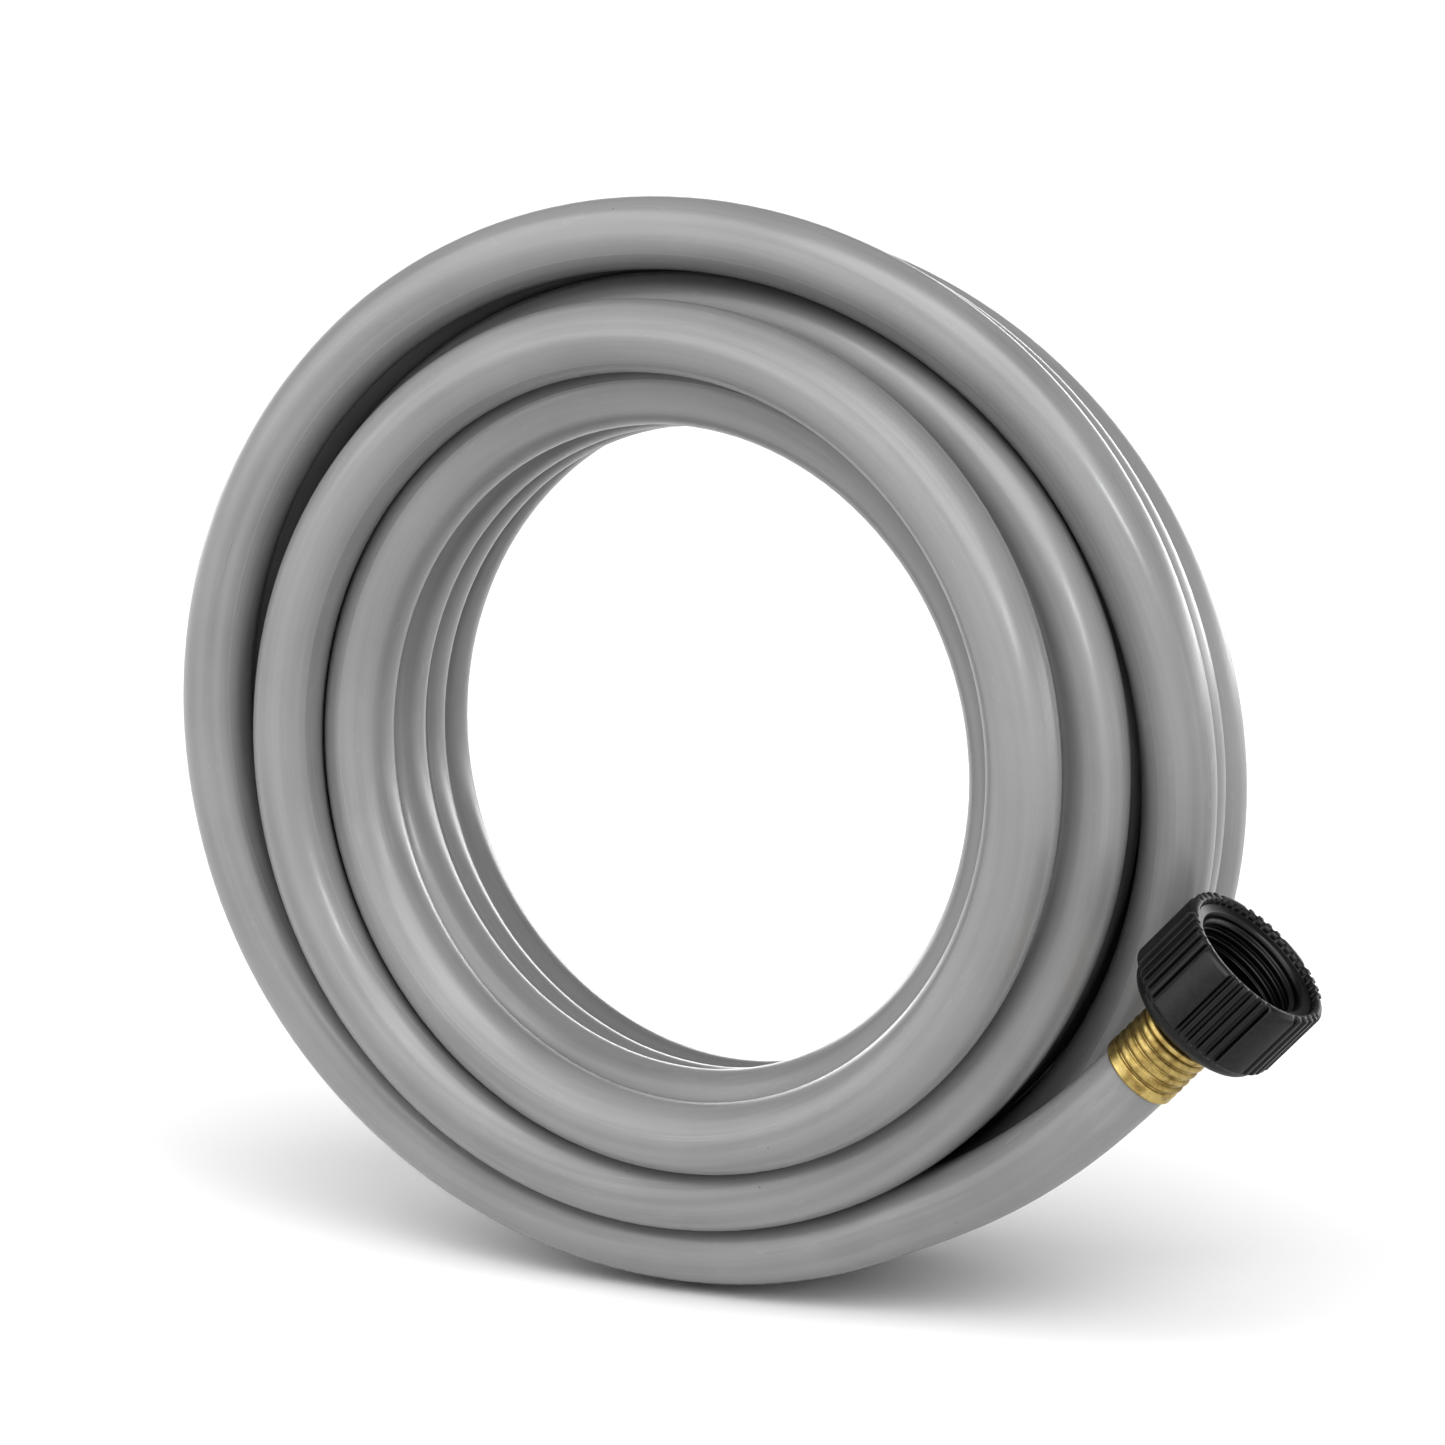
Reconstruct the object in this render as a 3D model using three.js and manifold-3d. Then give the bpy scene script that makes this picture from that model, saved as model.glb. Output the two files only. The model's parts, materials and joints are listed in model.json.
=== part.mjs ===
// A coiled garden-hose-type water hose, standing on its edge: a grey vinyl hose wound into one coil,
// with a plastic swivel nut on a brass crimped stem at the front end, and a brass male coupling at the
// back end. Millimetres, +Z up, the coil's axis along Y, its front towards -Y.

import * as THREE from 'three';
import { mergeVertices } from 'three/addons/utils/BufferGeometryUtils.js';
import Module from 'manifold-3d';

const wasm = await Module();
wasm.setup();

// ---- driving dimensions -------------------------------------------------------------------------

const GAP = 0.3;                  // clearance between pieces that touch

// hose
const HOSE_R = 8.5;               // 17 mm outside diameter, for a 1/2 in bore
const TUBE_SIDES = 12;

// coil, seen along its axis: radii from the axis, and depths along it from the front hose end's plane
const COIL_OUTER_R = 130;
const COIL_INNER_R = 77.5;
const COIL_FRONT = -27;           // the middle turns stand proudest at the front
const COIL_SHOULDER = -6;         // the outermost turn sits further back than the middle ones
const COIL_BACK = 66;
const COIL_CORNER = 6;
const COIL_FACETS = 56;
const REST_FLAT = 1.3;            // how far the coil's own weight flattens it where it stands

// front fitting: its axis lies in the coil's plane, rising to the right
const FRONT_START = new THREE.Vector3(124.6, -8, -61);  // where the hose leaves the ferrule
const FRONT_RISE = THREE.MathUtils.degToRad(46.4);
const FRONT_BEND_R = 184;         // the loose end is straighter than the coil
const FRONT_TAIL_DEPTH = 3;       // where it goes in among the turns
const FRONT_TAIL_TURN = THREE.MathUtils.degToRad(24);   // how far it bends before it is inside the coil
const TAIL_STEPS = 4;

// ferrules, from the hose's end of the shell
const FERRULE_LENGTH = 14.6;
const FERRULE_CREST_R = 9.2;
const FERRULE_GROOVE_R = 8.75;
const FERRULE_WALL = 0.45;
const FERRULE_BAND = 3.2;         // plain band at the hose's end
const RIDGE_PITCH = 2.4;
const FERRULE_RIDGES = 4;
const GROOVE_START = 0.1;         // a groove's floor, from where its ridge ends
const GROOVE_END = 0.4;
const RIDGE_START = 0.8;
const RIDGE_SHORT = 0.3;          // where the ridge starts to fall, before the next groove
const FERRULE_CHAMFER = 0.4;
const FERRULE_LIP_R = 7.9;        // the end is rolled in round the stem
const FERRULE_LIP = 0.8;

// swivel stem
const STEM_R = 6.1;
const STEM_BORE_R = 4.8;
const STEM_START = 1;             // the inner end lies just inside the ferrule
const BARBS = 4;
const BARB_START = 1.5;
const BARB_PITCH = 2.6;
const BARB_LENGTH = 2.2;
const BARB_DEPTH = 0.5;
const NECK_R = 7.4;
const NECK_START = FERRULE_LENGTH - 0.4;
const FLANGE_R = 11.6;
const FLANGE_LENGTH = 2.4;

// swivel nut, 3/4 in garden hose thread
const NUT_LENGTH = 23;
const NUT_LOBE_R = 19.2;
const NUT_RIB_R = 18.7;
const NUT_GROOVE_R = 17.9;
const NUT_LOBES = 6;
const NUT_LOBE_ARC = 26;          // degrees
const NUT_RIBS = 4;               // between two lobes
const NUT_RIB_ARC = 3.6;          // degrees, at a rib's crest
const NUT_RIB_FLANK = 1;          // degrees, each side of the crest
const NUT_HUB_R = 11.5;
const NUT_SHOULDER = [[15.2, 0.9], [17.8, 3.1], [19.5, 6.5]];   // radius and height up the rounded back
const NUT_WALL = 3.2;             // the wall that turns behind the stem's flange
const NUT_PLAY = 0.4;             // room round the stem
const THREAD_MAJOR_R = 13.65;
const THREAD_MINOR_R = 12.65;
const THREAD_PITCH = 2.209;       // 11.5 threads per inch
const THREAD_FLANKS = [0.35, 0.95, 1.25, 1.85];   // where the flanks start and end, along one pitch
const NUT_THREADS = 4;
const NUT_MOUTH_R = 14.3;         // where the threads start, a cone down to them
const NUT_MOUTH = 1;
const NUT_RECESS_R = 16.3;        // the rim stands round a shallow recess
const NUT_RECESS = 1.6;

// hose washer
const WASHER_R = 12.3;
const WASHER_BORE_R = 7.9;
const WASHER_THICKNESS = 3;

// back fitting: it lies at the back of the coil's inner turns, pointing down
const BACK_RADIUS = 86;           // of the hose's middle there, from the coil's axis
const BACK_DEPTH = 60.6;
const BACK_ANGLE = THREE.MathUtils.degToRad(24);        // above the horizontal, on the right
const BACK_TAIL_ARC = THREE.MathUtils.degToRad(58);     // the stretch that leaves the inner turns
const BACK_TAIL_DEPTH = 53;       // where that stretch starts
const COLLAR_R = 13.9;
const COLLAR_LENGTH = 4;
const MALE_ROOT_R = 12.3;
const MALE_CREST_R = 13.35;
const MALE_THREADS = 5;
const MALE_RELIEF = 0.4;          // plain stretch before the first thread
const MALE_FLANKS = [0, 0.8, 1.1, 1.9];
const MALE_TIP = 1.6;             // plain tip past the last thread
const MALE_CHAMFER = 0.6;
const MALE_BORE_R = 6;
const POCKET_CLEARANCE = 1.2;     // room round the back fitting, in the turns
const POCKET_REACH = 26;          // open space past its tip, for what screws on

const ROUND = 32;                 // facets round a fitting
const PAST = 1;                   // how far a cutter runs on past a face
const SAME_POINT = 1e-4;          // points this close are one

// ---- helpers ------------------------------------------------------------------------------------

function solidOf(geometry) {
  const bare = geometry.index ? geometry.toNonIndexed() : geometry.clone();
  bare.deleteAttribute('normal');
  bare.deleteAttribute('uv');
  const merged = mergeVertices(bare, SAME_POINT);
  return new wasm.Manifold(new wasm.Mesh({
    numProp: 3,
    vertProperties: new Float32Array(merged.attributes.position.array),
    triVerts: new Uint32Array(merged.index.array),
  }));
}

function geometryOf(solid) {
  const mesh = solid.getMesh();
  const geometry = new THREE.BufferGeometry();
  geometry.setAttribute('position', new THREE.BufferAttribute(mesh.vertProperties, 3));
  geometry.setIndex(new THREE.BufferAttribute(mesh.triVerts, 1));
  geometry.computeVertexNormals();
  return geometry;
}

// A solid turned round the Y axis from [radius, height] points that go round the section
// anticlockwise (radius to the right, height up). A section that touches the axis starts and ends on it.
function turned(section, facets = ROUND) {
  const points = section.map(([radius, height]) => new THREE.Vector2(radius, height));
  const onAxis = section[0][0] === 0;
  if (!onAxis) points.push(points[0].clone());
  return new THREE.LatheGeometry(points, facets);
}

function tubeAlong(curve, radius, steps) {
  const section = new THREE.Shape();
  section.absarc(0, 0, radius, 0, Math.PI * 2, false);
  return new THREE.ExtrudeGeometry(section, { steps, extrudePath: curve, curveSegments: TUBE_SIDES });
}

// ---- coil ---------------------------------------------------------------------------------------

// The coil's section, grown outward by some clearance.
function coilSection(grow = 0) {
  const inner = COIL_INNER_R - grow;
  const outer = COIL_OUTER_R + grow;
  const front = COIL_FRONT - grow;
  const back = COIL_BACK + grow;
  const shoulder = COIL_SHOULDER - grow;
  const step = outer - 2 * HOSE_R;
  return [
    [inner, front + COIL_CORNER],
    [inner + COIL_CORNER, front],
    [step - COIL_CORNER, front],
    [step, front + COIL_CORNER],
    [outer - COIL_CORNER, shoulder],
    [outer, shoulder + COIL_CORNER],
    [outer, back - COIL_CORNER],
    [outer - COIL_CORNER, back],
    [inner + COIL_CORNER, back],
    [inner, back - COIL_CORNER],
  ];
}

const coilRound = solidOf(turned(coilSection(), COIL_FACETS));
const coilClearance = solidOf(turned(coilSection(GAP), COIL_FACETS));

// ---- front fitting frame and loose hose end -----------------------------------------------------

const frontAxis = new THREE.Vector3(Math.cos(FRONT_RISE), 0, Math.sin(FRONT_RISE));

// leaves the ferrule against its axis, bends towards the bottom of the coil and goes deeper
class BendingEnd extends THREE.Curve {
  getPoint(t, target = new THREE.Vector3()) {
    const turn = FRONT_TAIL_TURN * t;
    const along = FRONT_BEND_R * Math.sin(turn);
    const across = FRONT_BEND_R * (1 - Math.cos(turn));
    const inward = new THREE.Vector3(-frontAxis.z, 0, frontAxis.x);
    const ease = t * t * (3 - 2 * t);
    target.copy(FRONT_START).addScaledVector(frontAxis, -along - GAP).addScaledVector(inward, across);
    target.y += (FRONT_TAIL_DEPTH - FRONT_START.y) * ease;
    return target;
  }
}

const frontTail = solidOf(tubeAlong(new BendingEnd(), HOSE_R, TAIL_STEPS)).subtract(coilClearance);

// ---- back fitting frame and its hose end --------------------------------------------------------

const backStart = new THREE.Vector3(
  BACK_RADIUS * Math.cos(BACK_ANGLE), BACK_DEPTH, BACK_RADIUS * Math.sin(BACK_ANGLE));
const backAxis = new THREE.Vector3(Math.sin(BACK_ANGLE), 0, -Math.cos(BACK_ANGLE));

// follows the inner turns over the top and eases back to the fitting's depth
class BackEnd extends THREE.Curve {
  getPoint(t, target = new THREE.Vector3()) {
    const angle = BACK_ANGLE + BACK_TAIL_ARC * (1 - t) + GAP / BACK_RADIUS;
    const ease = t * t * (3 - 2 * t);
    const depth = BACK_TAIL_DEPTH + (BACK_DEPTH - BACK_TAIL_DEPTH) * ease;
    return target.set(BACK_RADIUS * Math.cos(angle), depth, BACK_RADIUS * Math.sin(angle));
  }
}

// ---- fittings: every one is turned round Y, starting at the hose end of its ferrule at 0 --------

function ferruleSection() {
  const points = [[FERRULE_CREST_R - FERRULE_CHAMFER, 0], [FERRULE_CREST_R, FERRULE_CHAMFER]];
  for (let groove = 0; groove <= FERRULE_RIDGES; groove += 1) {
    const start = FERRULE_BAND + groove * RIDGE_PITCH;
    points.push([FERRULE_CREST_R, start - RIDGE_SHORT]);
    points.push([FERRULE_GROOVE_R, start + GROOVE_START], [FERRULE_GROOVE_R, start + GROOVE_END]);
    points.push([FERRULE_CREST_R, start + RIDGE_START]);
  }
  const inside = FERRULE_GROOVE_R - FERRULE_WALL;
  points.push([FERRULE_CREST_R, FERRULE_LENGTH - FERRULE_CHAMFER]);
  points.push([FERRULE_CREST_R - FERRULE_CHAMFER, FERRULE_LENGTH], [FERRULE_LIP_R, FERRULE_LENGTH]);
  points.push([FERRULE_LIP_R, FERRULE_LENGTH - FERRULE_LIP], [inside, FERRULE_LENGTH - FERRULE_LIP]);
  points.push([inside, 0]);
  return points;
}

// the end of the hose, gripped between the ferrule and the stem
function gripSection() {
  const outer = FERRULE_GROOVE_R - FERRULE_WALL - GAP;
  const inner = STEM_R + GAP;
  const end = FERRULE_LENGTH - FERRULE_LIP - GAP;
  return [[outer, GAP], [outer, end], [inner, end], [inner, GAP]];
}

const nutBack = FERRULE_LENGTH + NUT_PLAY;
const nutMouth = nutBack + NUT_LENGTH;
const flangeBack = nutBack + NUT_WALL + NUT_PLAY;
const flangeFront = flangeBack + FLANGE_LENGTH;
const washerBack = flangeFront + GAP;
const washerFront = washerBack + WASHER_THICKNESS;
const recessFloor = nutMouth - NUT_RECESS;
const threadEnd = recessFloor - NUT_MOUTH;
const threadStart = threadEnd - NUT_THREADS * THREAD_PITCH;

function stemSection() {
  const barbs = [];
  for (let barb = 0; barb < BARBS; barb += 1) {
    const start = BARB_START + barb * BARB_PITCH;
    barbs.push([STEM_R - BARB_DEPTH, start], [STEM_R, start + BARB_LENGTH]);
  }
  return [
    [STEM_R - BARB_DEPTH, STEM_START],
    ...barbs,
    [STEM_R, NECK_START],
    [NECK_R, NECK_START],
    [NECK_R, flangeBack],
    [FLANGE_R, flangeBack],
    [FLANGE_R, flangeFront],
    [STEM_BORE_R, flangeFront],
    [STEM_BORE_R, STEM_START],
  ];
}

function washerSection() {
  return [
    [WASHER_R, washerBack],
    [WASHER_R, washerFront],
    [WASHER_BORE_R, washerFront],
    [WASHER_BORE_R, washerBack],
  ];
}

// ring-shaped threads, each from its root up to its crest and back
function threadRings(count, start, root, crest, flanks) {
  const [riseStart, riseEnd, fallStart, fallEnd] = flanks;
  const points = [];
  for (let ring = 0; ring < count; ring += 1) {
    const at = start + ring * THREAD_PITCH;
    points.push([root, at + riseStart], [crest, at + riseEnd], [crest, at + fallStart], [root, at + fallEnd]);
  }
  return points;
}

function nutOutline() {
  const shape = new THREE.Shape();
  const arc = (radius, from, to) => {
    shape.absarc(0, 0, radius, THREE.MathUtils.degToRad(from), THREE.MathUtils.degToRad(to), false);
  };
  const span = 360 / NUT_LOBES;
  const ribPitch = (span - NUT_LOBE_ARC) / (NUT_RIBS + 1);
  const crest = NUT_RIB_ARC / 2;
  const foot = crest + NUT_RIB_FLANK;
  for (let lobe = 0; lobe < NUT_LOBES; lobe += 1) {
    const lobeStart = lobe * span;
    const lobeEnd = lobeStart + NUT_LOBE_ARC;
    let grooveStart = lobeEnd + NUT_RIB_FLANK;
    arc(NUT_LOBE_R, lobeStart, lobeEnd);
    for (let rib = 1; rib <= NUT_RIBS; rib += 1) {
      const at = lobeEnd + rib * ribPitch;
      arc(NUT_GROOVE_R, grooveStart, at - foot);
      arc(NUT_RIB_R, at - crest, at + crest);
      grooveStart = at + foot;
    }
    arc(NUT_GROOVE_R, grooveStart, lobeStart + span - NUT_RIB_FLANK);
  }
  shape.closePath();
  return shape;
}

function nutSolid() {
  const prism = new THREE.ExtrudeGeometry(nutOutline(), {
    depth: NUT_LENGTH,
    bevelEnabled: false,
    curveSegments: 2,
  });
  prism.rotateX(-Math.PI / 2);
  prism.translate(0, nutBack, 0);
  const shoulder = NUT_SHOULDER.map(([radius, height]) => [radius, nutBack + height]);
  const [widest] = shoulder.at(-1);
  const envelope = turned([
    [0, nutBack],
    [NUT_HUB_R, nutBack],
    ...shoulder,
    [widest, nutMouth],
    [0, nutMouth],
  ]);
  const inside = turned([
    [0, nutBack - PAST],
    [NECK_R + NUT_PLAY, nutBack - PAST],
    [NECK_R + NUT_PLAY, nutBack + NUT_WALL],
    [THREAD_MINOR_R, nutBack + NUT_WALL],
    ...threadRings(NUT_THREADS, threadStart, THREAD_MINOR_R, THREAD_MAJOR_R, THREAD_FLANKS),
    [THREAD_MINOR_R, threadEnd],
    [NUT_MOUTH_R, recessFloor],
    [NUT_RECESS_R, recessFloor],
    [NUT_RECESS_R, nutMouth + PAST],
    [0, nutMouth + PAST],
  ]);
  return solidOf(prism).intersect(solidOf(envelope)).subtract(solidOf(inside));
}

const collarStart = FERRULE_LENGTH + NUT_PLAY;
const maleRoot = collarStart + COLLAR_LENGTH;
const maleThreads = maleRoot + MALE_RELIEF;
const maleLength = maleThreads + MALE_THREADS * THREAD_PITCH + MALE_TIP;

function maleSection() {
  return [
    [STEM_R, STEM_START],
    [STEM_R, NECK_START],
    [NECK_R, NECK_START],
    [NECK_R, collarStart],
    [COLLAR_R, collarStart],
    [COLLAR_R, maleRoot],
    [MALE_ROOT_R, maleRoot],
    ...threadRings(MALE_THREADS, maleThreads, MALE_ROOT_R, MALE_CREST_R, MALE_FLANKS),
    [MALE_ROOT_R, maleLength - MALE_CHAMFER],
    [MALE_ROOT_R - MALE_CHAMFER, maleLength],
    [MALE_BORE_R, maleLength],
    [MALE_BORE_R, collarStart],
    [STEM_BORE_R, collarStart],
    [STEM_BORE_R, STEM_START],
  ];
}

// ---- the coil gives room to the back fitting ----------------------------------------------------

const alongBack = new THREE.Quaternion().setFromUnitVectors(new THREE.Vector3(0, 1, 0), backAxis);
const pocketNeck = FERRULE_CREST_R + POCKET_CLEARANCE;
const pocketWide = COLLAR_R + POCKET_CLEARANCE;
const pocketEnd = maleLength + POCKET_REACH;
const pocket = turned([
  [0, -PAST],
  [pocketNeck, -PAST],
  [pocketNeck, FERRULE_LENGTH - POCKET_CLEARANCE - PAST],
  [pocketWide, FERRULE_LENGTH - POCKET_CLEARANCE],
  [pocketWide, pocketEnd],
  [0, pocketEnd],
]);
pocket.applyQuaternion(alongBack);
pocket.translate(backStart.x, backStart.y, backStart.z);

const floorSize = 4 * COIL_OUTER_R;
const floorBlock = new THREE.BoxGeometry(floorSize, floorSize, floorSize);
floorBlock.translate(0, 0, -floorSize / 2 - COIL_OUTER_R + REST_FLAT);

const backTail = solidOf(tubeAlong(new BackEnd(), HOSE_R, 2 * TAIL_STEPS));
const backTailRoom = solidOf(tubeAlong(new BackEnd(), HOSE_R + GAP, 2 * TAIL_STEPS));
const coil = coilRound.subtract(solidOf(floorBlock)).subtract(solidOf(pocket)).subtract(backTailRoom);

// ---- materials ----------------------------------------------------------------------------------

const vinyl = () => new THREE.MeshStandardMaterial({ color: 0x9b9a9e, roughness: 0.42, metalness: 0 });
const brass = () => new THREE.MeshStandardMaterial({ color: 0xb8923c, roughness: 0.35, metalness: 1 });
const blackPlastic = () => new THREE.MeshStandardMaterial({ color: 0x1b1b1b, roughness: 0.5, metalness: 0 });
const rubber = () => new THREE.MeshStandardMaterial({ color: 0x141414, roughness: 0.8, metalness: 0 });

// ---- assembly -----------------------------------------------------------------------------------

function named(name, geometry, material) {
  const mesh = new THREE.Mesh(geometry, material);
  mesh.name = name;
  return mesh;
}

const hose = new THREE.Group();
hose.add(
  named('hose_coil', geometryOf(coil), vinyl()),
  named('hose_front_tail', geometryOf(frontTail), vinyl()),
  named('hose_back_tail', geometryOf(backTail), vinyl()),
);

const frontFitting = new THREE.Group();
frontFitting.position.copy(FRONT_START);
frontFitting.quaternion.setFromUnitVectors(new THREE.Vector3(0, 1, 0), frontAxis);
frontFitting.add(
  named('front_ferrule', turned(ferruleSection()), brass()),
  named('hose_front_end', turned(gripSection()), vinyl()),
  named('swivel_stem', turned(stemSection()), brass()),
  named('swivel_nut', geometryOf(nutSolid()), blackPlastic()),
  named('hose_washer', turned(washerSection()), rubber()),
);

const backFitting = new THREE.Group();
backFitting.position.copy(backStart);
backFitting.quaternion.copy(alongBack);
backFitting.add(
  named('back_ferrule', turned(ferruleSection()), brass()),
  named('hose_back_end', turned(gripSection()), vinyl()),
  named('male_coupling', turned(maleSection()), brass()),
);

// the origin is under the middle of the whole object's box, on the surface that it stands on
const assembly = new THREE.Group();
assembly.add(hose, frontFitting, backFitting);
const box = new THREE.Box3().setFromObject(assembly, true);
assembly.position.set(-(box.min.x + box.max.x) / 2, -(box.min.y + box.max.y) / 2, -box.min.z);

const part = new THREE.Group();
part.add(assembly);

export default part;
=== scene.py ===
import json
import math

import bmesh
import bpy
import numpy as np
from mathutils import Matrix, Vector


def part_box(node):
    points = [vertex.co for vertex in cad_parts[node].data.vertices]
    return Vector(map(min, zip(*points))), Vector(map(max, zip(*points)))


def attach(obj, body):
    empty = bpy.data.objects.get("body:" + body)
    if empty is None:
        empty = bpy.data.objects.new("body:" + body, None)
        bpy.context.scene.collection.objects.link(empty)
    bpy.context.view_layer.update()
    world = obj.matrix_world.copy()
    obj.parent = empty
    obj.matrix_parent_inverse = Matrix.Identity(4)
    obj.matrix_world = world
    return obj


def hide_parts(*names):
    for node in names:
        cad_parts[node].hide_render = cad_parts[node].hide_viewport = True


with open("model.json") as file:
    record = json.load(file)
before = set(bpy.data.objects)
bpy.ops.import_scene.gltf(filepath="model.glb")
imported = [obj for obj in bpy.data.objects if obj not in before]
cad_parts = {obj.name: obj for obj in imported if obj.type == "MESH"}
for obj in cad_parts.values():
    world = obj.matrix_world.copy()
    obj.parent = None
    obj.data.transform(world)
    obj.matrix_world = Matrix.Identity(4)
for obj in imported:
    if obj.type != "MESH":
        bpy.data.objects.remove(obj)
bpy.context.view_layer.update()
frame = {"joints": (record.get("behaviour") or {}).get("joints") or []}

# A coiled water hose standing on its edge. Lengths are in metres; MM turns millimetres into them.
MM = 0.001

# ---- hose and coil ------------------------------------------------------------------------------

HOSE_RADIUS = 8.5 * MM
HOSE_SIDES = 36
CLOCK = 144                 # points round one turn
FRONT_DEPTH = 27 * MM       # from the front of the coil's solid to the depth that counts as 0

# The hose is wound in three layers: to the back, to the front again inside that, and to the back
# inside that. Each layer's number of turns, the radius of its first turn and how much wider each
# next one is, the depth of its first turn and how much deeper each next one lies, and how much
# deeper they all lie at the right and at the bottom. Millimetres.
LAYERS = [
    (4, 122, -1.5, -14, 19, 8, 10),
    (4, 102, 0.5, 52, -19, 5, 0),
    (5, 83, 1.5, -18, 18, -2, 1),
]
CLIMB = 0.5                 # a layer's first turn is still this far up on the layer outside it
SKEW_RIGHT = -0.2           # the turns sit further right towards the front
SKEW_DOWN = 0.1             # and a little lower towards the back
COIL_RIGHT = 5 * MM         # where a turn at depth 0 sits
COIL_DOWN = -1 * MM
COIL_STARTS = 60            # degrees clockwise from the right, seen from the front
COIL_ENDS = 4238
STRAND_PITCH = 17.05 * MM   # turns that touch are this far apart
SETTLE_PASSES = 500
HELD_POINTS = 16            # points at each end of the wound part that are held in place
REST_DEPTH = 120.2 * MM     # the lowest that the hose's middle may lie below the coil's centre

# front end: leaves the ferrule against the fitting's axis and bends in among the turns
FRONT_START = (124.6 * MM, -8 * MM, -61 * MM)
FRONT_RISE = math.radians(46.4)
FRONT_BEND = 184 * MM
FRONT_TURN = math.radians(24)
FRONT_TAIL_DEPTH = 3 * MM

# back end: follows the inner turns over the top and eases back to the male fitting
BACK_RADIUS = 86 * MM
BACK_DEPTH = 60.6 * MM
BACK_ANGLE = math.radians(24)
BACK_ARC = math.radians(58)
BACK_TAIL_DEPTH = 53 * MM

TAIL_POINTS = 24
JOIN_POINTS = 40            # points of the wound part that ease onto each tail
RING_SPACING = 4.5 * MM
OVAL = 0.012                # how far winding squeezes the hose out of round
SWELL = 0.002
TWIST = 1.9                 # radians in each metre
INSIDE_FERRULE = 11 * MM    # how far the hose runs on inside each ferrule

# ---- fittings, along their own axis from the hose end of the ferrule ----------------------------

FERRULE_LENGTH = 14.6 * MM
FERRULE_CREST = 9.2 * MM
FERRULE_WALL = 0.5 * MM
FERRULE_BAND = 3.2 * MM
RIDGE_PITCH = 2.4 * MM
RIDGES = 4
GROOVE_DEPTH = 0.75 * MM

NUT_START = 15 * MM
NUT_LENGTH = 23 * MM
NUT_LOBE = 19.2 * MM
NUT_RIB = 18.7 * MM
NUT_GROOVE = 17.65 * MM
NUT_LOBES = 6
NUT_TURN = math.radians(8)  # how far the nut happens to be turned
LOBE_SHARE = 26 / 60        # of the angle from one lobe to the next
RIBS = 4
THREAD_MAJOR = 13.65 * MM
THREAD_MINOR = 12.65 * MM
THREAD_PITCH = 2.209 * MM
NUT_THREAD_TURNS = 4
NUT_BACK = 11.5 * MM        # the flat round the stem, behind the rounded shoulder
NUT_SHOULDER = 3.6 * MM
LOBE_CROWN = 0.25 * MM
THREAD_SET_BACK = 2.6 * MM
NUT_MOUTH = 14.3 * MM
RECESS = 16.3 * MM
RECESS_DEPTH = 1.6 * MM
NOTCHES = 48                # round the inside of the rim
NOTCH_DEPTH = 0.22 * MM
NECK = 7.4 * MM
STEM = 6.1 * MM
STEM_BORE = 4.8 * MM
FLANGE = 11.6 * MM
WASHER = 12.3 * MM
WASHER_BORE = 7.9 * MM
COLLAR = 13.9 * MM
MALE_ROOT = 12.3 * MM
MALE_CREST = 13.35 * MM
MALE_BORE = 6 * MM
MALE_THREAD_TURNS = 5
MALE_LENGTH = 32.045 * MM

# ---- camera -------------------------------------------------------------------------------------

VIEW_TURN = math.radians(27.74)      # from straight ahead, towards the nut's side
VIEW_RISE = math.radians(8.29)
VIEW_DISTANCE = 1.0054
VIEW_LENS = 106.8
VIEW_RIGHT = 13.56 * MM              # the picture's middle, from the coil's
VIEW_UP = 13.54 * MM
COIL_MIDDLE_SHIFT = Vector((1 * MM, 0, -5.6 * MM))

coil_low, coil_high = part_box("hose_coil")
COIL_RADIUS = (coil_high.x - coil_low.x) / 2
COIL_CENTRE = Vector(((coil_low.x + coil_high.x) / 2, coil_low.y + FRONT_DEPTH, coil_high.z - COIL_RADIUS))


def add_camera():
    right = Vector((math.cos(VIEW_TURN), math.sin(VIEW_TURN), 0))
    ahead = Vector((
        -math.sin(VIEW_TURN) * math.cos(VIEW_RISE),
        math.cos(VIEW_TURN) * math.cos(VIEW_RISE),
        -math.sin(VIEW_RISE),
    ))
    up = right.cross(ahead)
    data = bpy.data.cameras.new("camera")
    data.lens = VIEW_LENS
    data.sensor_width = 36
    data.clip_start = 0.01
    data.clip_end = 60
    camera = bpy.data.objects.new("camera", data)
    middle = COIL_CENTRE + COIL_MIDDLE_SHIFT + VIEW_RIGHT * right + VIEW_UP * up
    camera.location = middle - VIEW_DISTANCE * ahead
    camera.rotation_euler = ahead.to_track_quat("-Z", "Y").to_euler()
    bpy.context.collection.objects.link(camera)
    bpy.context.scene.camera = camera


add_camera()

# ---- meshes -------------------------------------------------------------------------------------


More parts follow.
